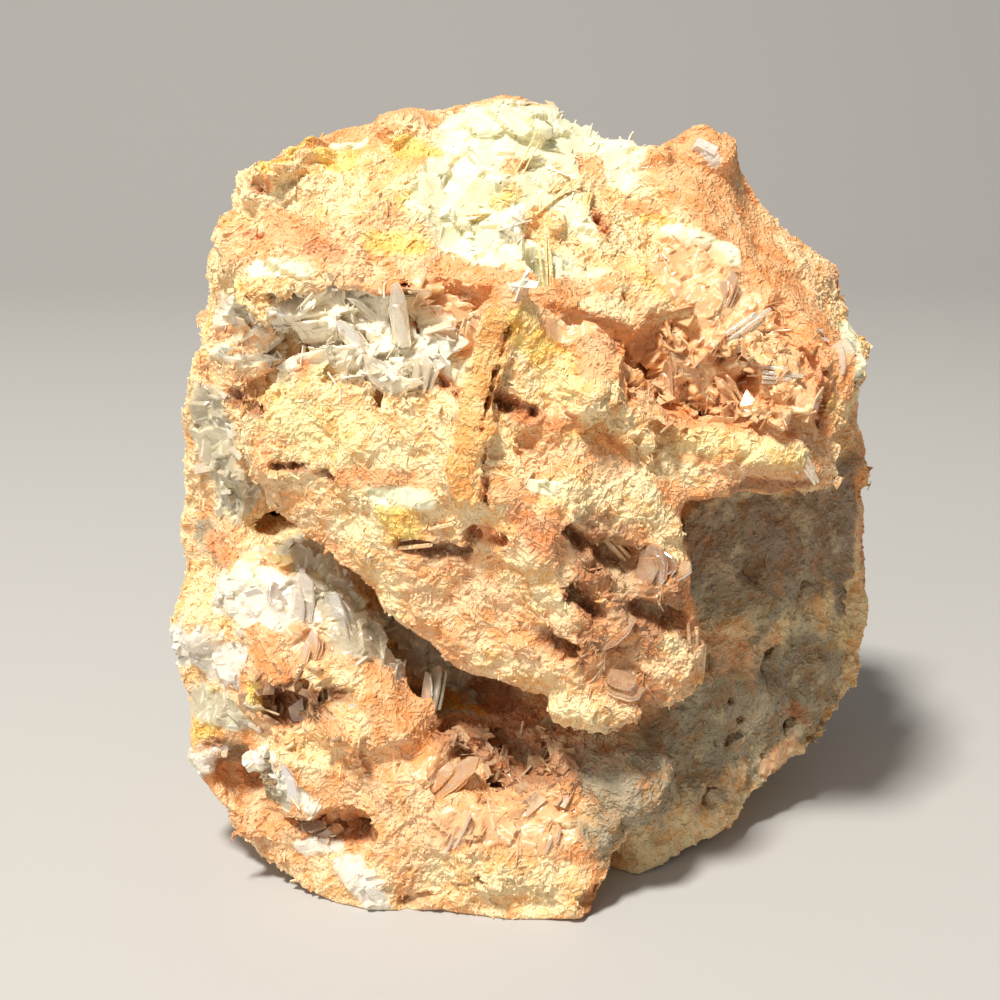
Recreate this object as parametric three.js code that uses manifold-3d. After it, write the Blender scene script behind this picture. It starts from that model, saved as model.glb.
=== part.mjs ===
// A barite cluster: rust-stained blades of barite grown together in one lump, with four pockets of clear blades.
// Millimetres, +Z up. Seen from the front, +X is to the right and +Y goes away from the viewer.
// The origin is at the middle of the bounding box, on the surface that the cluster rests on.
import * as THREE from "three";
import { ConvexGeometry } from "three/addons/geometries/ConvexGeometry.js";
import { ImprovedNoise } from "three/addons/math/ImprovedNoise.js";
import { MeshSurfaceSampler } from "three/addons/math/MeshSurfaceSampler.js";
import { TessellateModifier } from "three/addons/modifiers/TessellateModifier.js";
import { mergeVertices } from "three/addons/utils/BufferGeometryUtils.js";
import Module from "manifold-3d";

const wasm = await Module();
wasm.setup();

// Driving dimensions
const FACET = 12.5; // longest edge of a facet on the main lobes
const MOST_SPLITS = 12; // rounds of halving that bring every edge under that length
const SWELL = { reach: 13, height: 1.5 }; // broad unevenness of the broken surface
const KNOBBLE = { reach: 5, height: 0.8 }; // unevenness the size of a blade
const LUMP_ROUGHNESS = 0.5; // a lump's share of the lobes' unevenness
const NODE_GAP = 0.3; // between a pocket's crystals and the rock around them
const PIT_DEPTH = 1.6; // share of a pit's radius
const END_SLANT = 0.55; // how far a pocket blade's end slants back, as a share of its half width
const SEED = 33; // of the standing blades' places and sizes
const BELOW = { side: 200, depth: 60 }; // the block that cuts the lump off flat

// Blades that stand out of the rough surface, fused to it
const SURFACE_BLADES = {
  count: 60,
  length: [8, 13],
  width: [6, 9],
  thickness: [0.9, 1.4],
  proud: [1.2, 2.4],
  lean: 1.1,
};

// The main lobes, each by the corners of its block
const LOBES = {
  crown: [
    [-36, -9, 92], [-39, -15, 83], [-29, -7, 94], [-20, -5, 97], [-12, -4, 98],
    [-3, -3, 100], [9, -3, 95], [16, -7, 93], [-35, -23, 77], [-24, -22, 82],
    [-11, -25, 79], [-2, -27, 78], [13, -25, 73], [-32, 24, 84], [-4, 28, 86],
    [18, 24, 84], [-36, 16, 58], [22, 24, 58], [-4, 30, 58], [-4, -10, 50],
  ],
  right_slab: [
    [16, -7, 94], [22, -3, 95.5], [28, -2, 90], [35, -3, 83], [39.5, -5, 77.5],
    [42.5, -7, 71], [45.5, -5, 60], [20, -13, 88], [28, -17, 80.5], [33, -21, 72],
    [14, -23.5, 75], [39, -19, 66], [26, 22, 82], [41, 21, 62], [42, 14, 50], [20, 22, 50], [6, -10, 50],
  ],
  prow: [
    [-35, -23, 60], [-34, -23, 50.5], [-29, -22, 68], [-3, -31, 79], [13, -28, 68],
    [17, -32, 50], [20, -31, 36], [20.5, -31, 28.5], [7, -35, 25.5], [-10, -29, 32.5],
    [-26, -24, 45], [-6, -34, 57], [3, -38, 43], [-24, 3, 62], [6, 3, 60],
    [11, -12, 31], [-4, -8, 38],
  ],
  rusty_fin: [
    [-4.5, -31, 80], [-1, -31, 79.5], [-8, -33.5, 72], [-3.5, -33, 71], [-10, -36, 61.5],
    [-5, -36, 61.5], [-11, -37, 54], [-6.5, -37, 53.5], [-8, -30, 52], [-2, -26, 78],
    [-11, -30, 62],
  ],
  ledge: [
    [13, -27, 67], [17, -29, 53], [36.5, -25, 53.5], [37.5, -25, 60], [40, -20, 67],
    [26, -25, 73], [36, 3, 60], [40, 3, 55], [16, 3, 49], [8, -8, 60],
  ],
  rear_block: [
    [46, 1, 60], [48, 5, 28], [47, 0, 16.5], [42, -5, 11], [34, -10, 6.5],
    [27, -14, 5], [21, -21, 1.5], [14, -25, 0], [10, -23, 0], [20, -16, 47],
    [19, -18, 35], [20, -20, 20], [13, -24, 10], [44, 26, 55], [46, 27, 25],
    [34, 29, 8], [11, 25, -2], [6, 23, 50],
  ],
  left_shoulder: [
    [-46, -11, 40], [-40, -14, 46], [-47.5, -15, 30], [-47.5, -17, 21], [-44, -21, 17],
    [-33, -28, 29], [-27, -25, 37], [-26, -15, 43], [-16.5, -28, 27], [-12, -26, 21],
    [-34, 3, 43], [-44, 10, 32], [-44, 10, 12], [-30, -26, 14],
  ],
  foot: [
    [-45.5, -19, 14], [-39, -23, 4], [-33, -28, 2.5], [-21, -34, -1], [-2, -37.5, -1],
    [6.5, -36.5, 2], [8, -35, 9], [17.5, -29, 18.5], [14, -27, 22], [-19, -33, 18],
    [-34, -28, 18], [4, -28, 20], [-4, -36, 12], [-40, 8, 10], [-30, 14, -2],
    [1, 8, -2], [14, 3, 10], [14, 3, 20],
  ],
  left_flank: [
    [-42, -11, 70], [-44.5, -11, 61], [-44.5, -9, 52.5], [-46, -9, 41], [-40, -15, 80],
    [-37, -18, 72], [-37, -17, 50], [-39, -15, 42], [-40, 14, 78], [-43, 14, 60],
    [-43, 14, 42], [-14, 3, 60],
  ],
  back: [
    [-34, 28, 70], [-38, 26, 40], [-30, 28, 12], [-4, 37, 70], [1, 38, 40],
    [6, 34, 12], [26, 32, 72], [34, 32, 45], [30, 28, 20], [-4, 22, 91],
    [-16, 26, -2], [16, 24, -2], [-4, -16, 60], [-28, -12, 60], [26, -12, 60],
    [-24, -10, 20], [16, -12, 20],
  ],
};

// Small lumps on the lobes: centre and half sizes
const LUMPS = [
  [[-15, -6, 94.5], [6, 6, 4.5]], // rusty knob left of the crest
  [[-3, -4, 95.5], [9, 7, 4.5]], // crest
  [[22, -4, 91.8], [5, 6, 4]], // corner above the right slab
  [[-33, -11, 88], [5.5, 7, 5]], // upper left corner
  [[41, -8, 65], [4.5, 6, 6]], // pale crystal on the right edge
  [[-41, -14, 31], [7, 8, 6]], // bulge over the left side
  [[-41, -15, 20], [6, 8, 5]],
  [[14, -31, 43], [6, 5, 7]], // blunt corner of the prow
  [[16, -30, 32], [7, 5, 6]],
  [[8, -33, 28], [7, 5, 5]],
  [[30, -24, 56], [10, 5, 5]], // lip of the right ledge
  [[-17, -31, 4], [4, 5, 6]], // white toe
  [[-2, -33, 5], [9, 6, 7]],
  [[12, -28, 15], [8, 7, 7]],
  [[-20, -26, 22], [9, 7, 7]],
  [[-30, 26, 46], [9, 7, 12]], // swellings on the back
  [[18, 30, 36], [10, 7, 12]],
  [[4, 22, 86], [12, 8, 5]],
  [[10, 35, 62], [12, 6, 7]],
  [[-20, 32, 22], [12, 7, 7]],
  [[27, 30, 56], [8, 6, 9]],
  [[-38, 20, 32], [6, 9, 8]],
  [[45, 13, 48], [5, 9, 7]], // swellings on the right side
  [[44, 18, 22], [6, 9, 9]],
  [[38.5, 12, 73], [5, 8, 6]],
  [[-43, 3, 54], [5, 8, 9]], // swellings on the left side
  [[-42, 8, 24], [6, 9, 7]],
  [[6, -30, 68], [6, 4, 8]], // yellow rise beside the fin
  [[-31, -22, 56], [5, 5, 6]], // blunt left corner of the prow
];

// Hollows, cut from the outside: centre and half sizes
const HOLLOWS = [
  [[21.5, -25, 66.5], [8.5, 7.5, 6]], // right pocket
  [[-22, -26, 73], [12, 8, 5]], // left pocket
  [[-31, -29, 25], [6, 7.5, 3.5]], // pocket in the left shoulder
  [[1, -37, 61], [4.5, 6, 4]], // cavity beside the fin
  [[-4, -33, 19], [10, 9, 6]], // recess under the prow
  [[-38, -24, 13], [5, 6, 5]], // hollow low on the left
  [[-24, -31, 9], [6, 5.5, 4]],
  [[43, -18, 55], [5, 9, 7]], // notch between the ledge and the rear block
  [[-24, -7, 99.5], [3.5, 9, 3.5]], // notch in the skyline
  [[14, -3, 99.5], [6, 10, 4.5]],
  [[38, 26, 62], [8, 9, 8]], // hollows in the back
  [[-14, 37, 50], [9, 7, 6]],
  [[6, 39, 24], [8, 7, 6]],
  [[-40, 22, 60], [6, 8, 9]],
];

// Round pits of the rear block: centre and radius
const PITS = [
  [[33, -9, 24], 2], [[38, -5, 33], 1.8], [[28, -13, 14], 1.8], [[41, -3, 20], 2],
  [[24, -17, 8], 1.8], [[30, -12, 38], 2], [[36, -7, 14], 1.6], [[24, -17, 27], 2],
];

// Blades in each pocket: centre, [length, width, thickness] and turns about X, Y and Z in degrees
const POCKETS = {
  left_pocket_crystals: [
    [[-19, -25, 71.5], [15, 7, 1.1], [80, -70, 8]],
    [[-16, -27, 69], [12, 6.5, 1], [74, -42, -20]],
    [[-22, -25.5, 71.5], [13, 5.5, 1], [98, 36, 20]],
    [[-26, -25, 70.5], [12, 6, 1.1], [100, 12, -10]],
    [[-19.5, -27, 66.5], [10, 5, 1], [86, 58, 16]],
  ],
  right_pocket_crystals: [
    [[21.5, -24.5, 66], [15, 7, 1], [84, 38, 12]],
    [[24.5, -25, 66.5], [13, 7, 1], [78, -44, -14]],
    [[26.5, -24, 65.5], [12, 6, 1], [70, 6, 24]],
    [[22, -24, 69.5], [13, 6, 1], [92, 18, -18]],
  ],
  shoulder_pocket_crystals: [
    [[-31, -26, 25.5], [10, 5, 0.9], [82, 12, 18]],
    [[-29.5, -26, 26], [9, 5, 0.9], [94, -52, -12]],
    [[-33, -25.5, 24.5], [8, 4.5, 0.9], [76, 62, 8]],
  ],
  recess_crystals: [
    [[-3, -28.5, 19], [13, 6, 1], [80, 28, 10]],
    [[0, -28.5, 19.5], [11, 6, 1], [96, -38, -10]],
    [[-3, -28, 21], [12, 5, 1], [74, -4, -16]],
  ],
};

const NOISE_START = new THREE.Vector3(9.1, 4.7, 2.3);
const noise = new ImprovedNoise();
let draws = SEED;

function random() {
  draws += 1;
  return THREE.MathUtils.seededRandom(draws);
}

function between([low, high]) {
  return low + (high - low) * random();
}

function anyDirection() {
  return new THREE.Vector3(random() - 0.5, random() - 0.5, random() - 0.5);
}

// A closed three.js geometry as a solid
function solid(geometry) {
  const bare = geometry.index ? geometry.toNonIndexed() : geometry.clone();
  bare.deleteAttribute("normal");
  bare.deleteAttribute("uv");
  const merged = mergeVertices(bare, 1e-3);
  return new wasm.Manifold(
    new wasm.Mesh({
      numProp: 3,
      vertProperties: merged.attributes.position.array,
      triVerts: new Uint32Array(merged.index.array),
    }),
  );
}

// A solid as a three.js geometry, with a flat normal on each facet
function geometryOf(body) {
  const { vertProperties, triVerts } = body.getMesh();
  const geometry = new THREE.BufferGeometry();
  geometry.setAttribute("position", new THREE.BufferAttribute(vertProperties, 3));
  geometry.setIndex(new THREE.BufferAttribute(triVerts, 1));
  const flat = geometry.toNonIndexed();
  flat.computeVertexNormals();
  return flat;
}

// One size of unevenness at a place
function unevenness(place, { reach, height }) {
  const at = place.clone().divideScalar(reach).add(NOISE_START);
  return 2 * height * noise.noise(at.x, at.y, at.z);
}

// How far the rough surface stands out or in at a place
function roughness(place) {
  return unevenness(place, SWELL) + unevenness(place, KNOBBLE);
}

// A lobe: the smallest block that holds the corners, its faces cut into facets and roughened
function lobe(corners) {
  const block = new ConvexGeometry(corners.map((c) => new THREE.Vector3(...c)));
  block.deleteAttribute("normal");
  const facets = new TessellateModifier(FACET, MOST_SPLITS).modify(block);
  const skin = mergeVertices(facets);
  skin.computeVertexNormals();
  const place = skin.attributes.position;
  const [point, out] = [new THREE.Vector3(), new THREE.Vector3()];
  for (let i = 0; i < place.count; i += 1) {
    point.fromBufferAttribute(place, i);
    out.fromBufferAttribute(skin.attributes.normal, i);
    point.addScaledVector(out, roughness(point));
    place.setXYZ(i, point.x, point.y, point.z);
  }
  return solid(skin);
}

// A lump or a hollow: an uneven ball squeezed to its half sizes
function lump([centre, halfSizes]) {
  const ball = new THREE.IcosahedronGeometry(1, 0);
  ball.scale(...halfSizes);
  ball.translate(...centre);
  const place = ball.attributes.position;
  const point = new THREE.Vector3();
  const middle = new THREE.Vector3(...centre);
  for (let i = 0; i < place.count; i += 1) {
    point.fromBufferAttribute(place, i);
    const out = point.clone().sub(middle).normalize();
    point.addScaledVector(out, LUMP_ROUGHNESS * roughness(point));
    place.setXYZ(i, point.x, point.y, point.z);
  }
  return solid(ball);
}

// A flat crystal with the given corners, centred on the origin with its thickness along Z
function plate(corners, thickness) {
  const outline = new THREE.Shape(corners.map(([x, y]) => new THREE.Vector2(x, y)));
  const geometry = new THREE.ExtrudeGeometry(outline, { depth: thickness, bevelEnabled: false });
  return geometry.translate(0, 0, -thickness / 2);
}

// The diamond outline of a small blade
function diamond(length, width) {
  const [l, w] = [length / 2, width / 2];
  return [[-l, 0], [0, -w], [l, 0], [0, w]];
}

// The long six-sided outline of a pocket's blade
function hexagon(length, width) {
  const [l, w] = [length / 2, width / 2];
  const shoulder = l - END_SLANT * w;
  return [[-l, 0], [-shoulder, -w], [shoulder, -w], [l, 0], [shoulder, w], [-shoulder, w]];
}

// A plate that stands on edge in the surface at a sampled place, leaning a little
function surfaceBlade(place, normal) {
  const { length, width, thickness, proud, lean } = SURFACE_BLADES;
  const [long, wide, thick] = [between(length), between(width), between(thickness)];
  const up = normal.clone().addScaledVector(anyDirection(), lean).normalize();
  const along = anyDirection().cross(up).normalize();
  const frame = new THREE.Matrix4().makeBasis(along, up, along.clone().cross(up));
  const centre = place.clone().addScaledVector(up, between(proud) - wide / 2);
  return plate(diamond(long, wide), thick).applyMatrix4(frame.setPosition(centre));
}

function pocketBlade([centre, [long, wide, thick], turns]) {
  const [x, y, z] = turns.map(THREE.MathUtils.degToRad);
  const frame = new THREE.Matrix4().makeRotationFromEuler(new THREE.Euler(x, y, z));
  return solid(plate(hexagon(long, wide), thick).applyMatrix4(frame.setPosition(...centre)));
}

function join(solids) {
  return solids.reduce((all, one) => all.add(one));
}

// The largest of the separate bodies that a cut may leave
function largestBody(body) {
  return body.decompose().reduce((best, one) => (one.volume() > best.volume() ? one : best));
}

function rock() {
  const grown = join([...Object.values(LOBES).map(lobe), ...LUMPS.map(lump)]);
  const hollowed = HOLLOWS.map(lump).reduce((left, hollow) => left.subtract(hollow), grown);
  return PITS.reduce((left, [c, r]) => left.subtract(lump([c, [r, r * PIT_DEPTH, r]])), hollowed);
}

function withSurfaceBlades(body) {
  const skin = new THREE.Mesh(geometryOf(body));
  const sampler = new MeshSurfaceSampler(skin).setRandomGenerator(random).build();
  const [place, normal] = [new THREE.Vector3(), new THREE.Vector3()];
  const blades = [];
  for (let i = 0; i < SURFACE_BLADES.count; i += 1) {
    sampler.sample(place, normal);
    blades.push(solid(surfaceBlade(place, normal)));
  }
  return join([body, ...blades]);
}

// Everything below the resting surface is cut off flat
function restingFlat(body) {
  const below = new THREE.BoxGeometry(BELOW.side, BELOW.side, BELOW.depth).translate(0, 0, -BELOW.depth / 2);
  return body.subtract(solid(below));
}

// The room that a pocket's blades take in the rock, with the gap between nodes
function socket(blades) {
  const grown = blades.map(([centre, size, turns]) => [centre, size.map((s) => s + 2 * NODE_GAP), turns]);
  return join(grown.map(pocketBlade));
}

const uncut = restingFlat(withSurfaceBlades(rock()));
const cluster = largestBody(Object.values(POCKETS).reduce((left, blades) => left.subtract(socket(blades)), uncut));

const rustyBarite = new THREE.MeshStandardMaterial({ color: 0xe0a66e, roughness: 0.85, metalness: 0 });
const clearBarite = new THREE.MeshStandardMaterial({ color: 0xe6dfc4, roughness: 0.25, metalness: 0 });
const honeyBarite = new THREE.MeshStandardMaterial({ color: 0xd9ab72, roughness: 0.25, metalness: 0 });

const part = new THREE.Group();

function place(name, body, material) {
  const mesh = new THREE.Mesh(geometryOf(body), material);
  mesh.name = name;
  part.add(mesh);
}

place("cluster", cluster, rustyBarite);
Object.entries(POCKETS).forEach(([name, blades]) => {
  const material = name === "left_pocket_crystals" ? clearBarite : honeyBarite;
  place(name, join(blades.map(pocketBlade)), material);
});

const middle = new THREE.Box3().setFromObject(part).getCenter(new THREE.Vector3());
part.position.set(-middle.x, -middle.y, 0);

export default part;
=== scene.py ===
import itertools
import math
from typing import NamedTuple

import bmesh
import bpy
import numpy as np
from mathutils import Euler, Matrix, Vector
from mathutils.bvhtree import BVHTree


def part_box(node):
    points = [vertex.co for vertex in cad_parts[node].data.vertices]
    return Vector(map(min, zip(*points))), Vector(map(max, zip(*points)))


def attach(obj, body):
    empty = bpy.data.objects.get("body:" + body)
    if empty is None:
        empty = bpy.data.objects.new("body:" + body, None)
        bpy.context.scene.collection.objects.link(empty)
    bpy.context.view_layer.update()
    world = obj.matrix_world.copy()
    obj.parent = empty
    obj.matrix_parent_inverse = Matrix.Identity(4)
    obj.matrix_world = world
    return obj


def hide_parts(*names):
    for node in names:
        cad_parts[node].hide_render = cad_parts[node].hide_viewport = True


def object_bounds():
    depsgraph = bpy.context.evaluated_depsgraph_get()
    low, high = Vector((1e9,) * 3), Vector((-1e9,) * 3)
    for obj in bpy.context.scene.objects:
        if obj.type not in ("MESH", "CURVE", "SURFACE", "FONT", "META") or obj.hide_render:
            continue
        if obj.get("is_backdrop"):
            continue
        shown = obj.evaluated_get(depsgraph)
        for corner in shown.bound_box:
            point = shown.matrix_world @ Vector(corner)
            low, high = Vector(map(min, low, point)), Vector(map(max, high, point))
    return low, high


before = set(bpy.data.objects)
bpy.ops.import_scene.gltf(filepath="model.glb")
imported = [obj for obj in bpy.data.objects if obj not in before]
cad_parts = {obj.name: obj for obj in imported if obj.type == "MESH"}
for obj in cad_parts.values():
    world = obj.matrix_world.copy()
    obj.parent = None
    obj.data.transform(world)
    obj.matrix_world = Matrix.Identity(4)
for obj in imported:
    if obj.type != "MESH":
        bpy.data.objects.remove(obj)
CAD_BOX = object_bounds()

LOW, HIGH = (np.array(corner, float) for corner in CAD_BOX)
MM = 0.001
BLADE_SEED = 20
draw = np.random.default_rng(BLADE_SEED)

# The camera stands where the photograph was taken from: place in millimetres, tilt below the horizon
CAMERA_PLACE = (-4.6, -219.6, 106.6)
CAMERA_TILT = 15.9
CAMERA_LENS = 58.32
SENSOR = 36
PHOTO_SIDE = 1000
MISSED_AWAY = 0.199  # metres to where a line of sight passes the rock

# The rock's surface, in millimetres
VOXEL = 0.45
SMOOTHING, SMOOTHING_STRENGTH = 12, 0.5  # rounds, and how much of the way in each
STANDS_BELOW = 1.5  # the surface stays flat at the floor and gets its full relief at this height
RELIEF = ((8.0, 0.5), (3.6, 0.3))  # reach and height of each size of unevenness
KNOT_SPACING = 4.2
KNOT_REACH = 0.8  # share of the spacing
KNOT_LEVEL = 0.6
KNOT_HEIGHT = 0.8
CRUMBS = ((2.8, 0.45, 0.34), (1.7, 0.34, 0.3), (1.1, 0.28, 0.2))  # spacing, thickness, height
CRUMB_LEVEL = 0.4
FACET_SPACING = 3.4
FACET_SLOPE = 0.34
HOLE_SHADE = 0.35  # painted shade: how much darker the crust's colour is made in a hole
DEEP_SHARE = 0.2  # how much of the crust has the colour between the blades: redder oxide, darkened as painted shade
ROCK_STANDING, CRYSTAL_STANDING = 0.5, 0.8  # where they are between a blade's foot, 0, and its top, 1; the colour grows redder and darker towards the foot, the darkening painted shade
KNOT_SEED, RELIEF_SEED, CRUMB_SEED, FACET_SEED = 30, 40, 50, 60


class Kind(NamedTuple):
    """One look of the crust."""
    edge: str  # colour of its blades' edges
    deep: str  # colour between the blades: redder oxide, darkened as painted shade
    milky: float  # from dry crust, 0, to see-through crystal, 1
    crumb: float  # how rough it is
    growth: str  # how its blades grow


KINDS = {
    "peach": Kind("f7cd9a", "e4a673", 0.0, 1.0, "blades"),
    "cream": Kind("fbe2ae", "edc286", 0.0, 1.0, "blades"),
    "lemon": Kind("fbe4a4", "f0c88a", 0.0, 0.9, "blades"),
    "golden": Kind("fbd878", "ebba5e", 0.0, 0.7, "blades"),
    "orange": Kind("efb37a", "e09a60", 0.0, 0.45, "crumbs"),
    "ochre": Kind("f8c47c", "e4a258", 0.0, 0.4, "crumbs"),
    "rust": Kind("e8a874", "c67a4a", 0.0, 0.9, "blades"),
    "pale": Kind("f3edc6", "e0dcb8", 1.0, 0.12, "edges"),
    "white": Kind("f3ecda", "e0d6bc", 1.0, 0.2, "edges"),
    "ivory": Kind("f8ead0", "ead8b2", 1.0, 0.12, "edges"),
    "frost": Kind("ebdfce", "cdbfaa", 1.0, 0.25, "lumps"),
    "honey": Kind("f2bc84", "e0a064", 0.8, 0.3, "edges"),
    "amber": Kind("cf9460", "94603a", 0.5, 0.3, "edges"),
    "umber": Kind("c08d64", "875a3a", 0.3, 1.0, "blades"),
    # beige and taupe are darkened as painted shade: the rear block under the ledge and low on the shoulder
    "beige": Kind("aa9b7e", "7a6b52", 0.0, 0.8, "crumbs"),
    "taupe": Kind("a48e74", "6e5c48", 0.0, 0.8, "crumbs"),
    # grey is darkened as painted shade, for the recess under the prow
    "grey": Kind("c2b496", "968a6e", 1.0, 0.2, "plates"),
}
KIND_NAMES = list(KINDS)
CLEAR_KINDS = ("pale", "white", "ivory", "frost", "grey")
HONEY_KINDS = ("honey", "amber")


class Growth(NamedTuple):
    """How blades grow, in millimetres."""
    length: tuple
    proud: tuple  # how far they stand out of the rock
    thickness: tuple
    lean: float  # 0 for upright, 2 for any way
    crowding: float  # blades in a square millimetre
    forward: float  # how far they turn to the front


GROWTHS = {
    "blades": Growth((0.3, 1.9), (0.0, 0.3), (0.13, 0.34), 0.9, 1.0, 0.0),
    "edges": Growth((1.0, 4.2), (0.0, 0.12), (0.1, 0.3), 0.4, 0.5, 0.5),
    "plates": Growth((1.5, 4.0), (0.0, 0.5), (0.4, 1.2), 0.9, 0.16, 0.0),
    "lumps": Growth((1.2, 3.0), (0.0, 0.4), (0.7, 1.8), 0.9, 0.2, 0.0),
    "crumbs": Growth((0.3, 0.9), (0.0, 0.15), (0.25, 0.5), 0.9, 0.8, 0.0),
}
ROOTED = 0.8
SMALLNESS = 2.4  # the more, the fewer of the blades are large
SHEAF_REACH, SHEAF_SEEDS, SHEAF_HOLD = 5, (11, 12, 13), 0.8  # blades near one another run alike
BLADE_TONE = 0.05  # how much the blades differ in brightness
BARE_BELOW = 0.4  # millimetres above the floor
HOLE_BARENESS = 0.9
UNSEEN_SHARE = 0.45  # of the blades, where the camera doesn't look
BLADES_IN_ALL = 27000
BLADE_LIMIT = 16000  # in one piece

# The rock's quarters, which meet at this line, in millimetres
QUARTERED_AT = (2, -6)
QUARTERS = (
    ("rock_front_left", -1, -1),
    ("rock_front_right", 1, -1),
    ("rock_back_left", -1, 1),
    ("rock_back_right", 1, 1),
)

# The patchy ground: kind, reach in millimetres, seed, gain and start of its amount, and whether only behind
GROUND = "peach"
PATCHES = (
    ("cream", 16, 1, 1.6, 0.5, False),
    ("orange", 16, 1, -1.6, -0.2, False),
    ("pale", 19, 3, 1.8, -0.5, True),
    ("beige", 24, 4, 1.6, -0.3, True),
    ("golden", 7, 2, 1.6, -1.0, False),
    ("rust", 7, 2, -1.6, -1.1, False),
)
FAR_FROM = 15  # millimetres behind the middle

# Rough rims of marks, and of stains and painted shade: amount as a share of the half width, reach in
# millimetres and seed
MARK_RIM = ((0.3, 1.6, 7), (0.2, 0.8, 8))
STAIN_AND_SHADE_RIM = ((0.22, 3.5, 5), (0.13, 1.4, 6))
MARK_END = 1.3  # half widths from the mark's middle line to where nothing is left of it
STAIN_AND_SHADE_END, STAIN_AND_SHADE_FADE = 1.2, 0.5  # half widths to where each stain and patch of painted shade ends, and over which it fades there
TURNED_AWAY = -0.2  # a mark leaves alone what faces the other way
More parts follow.
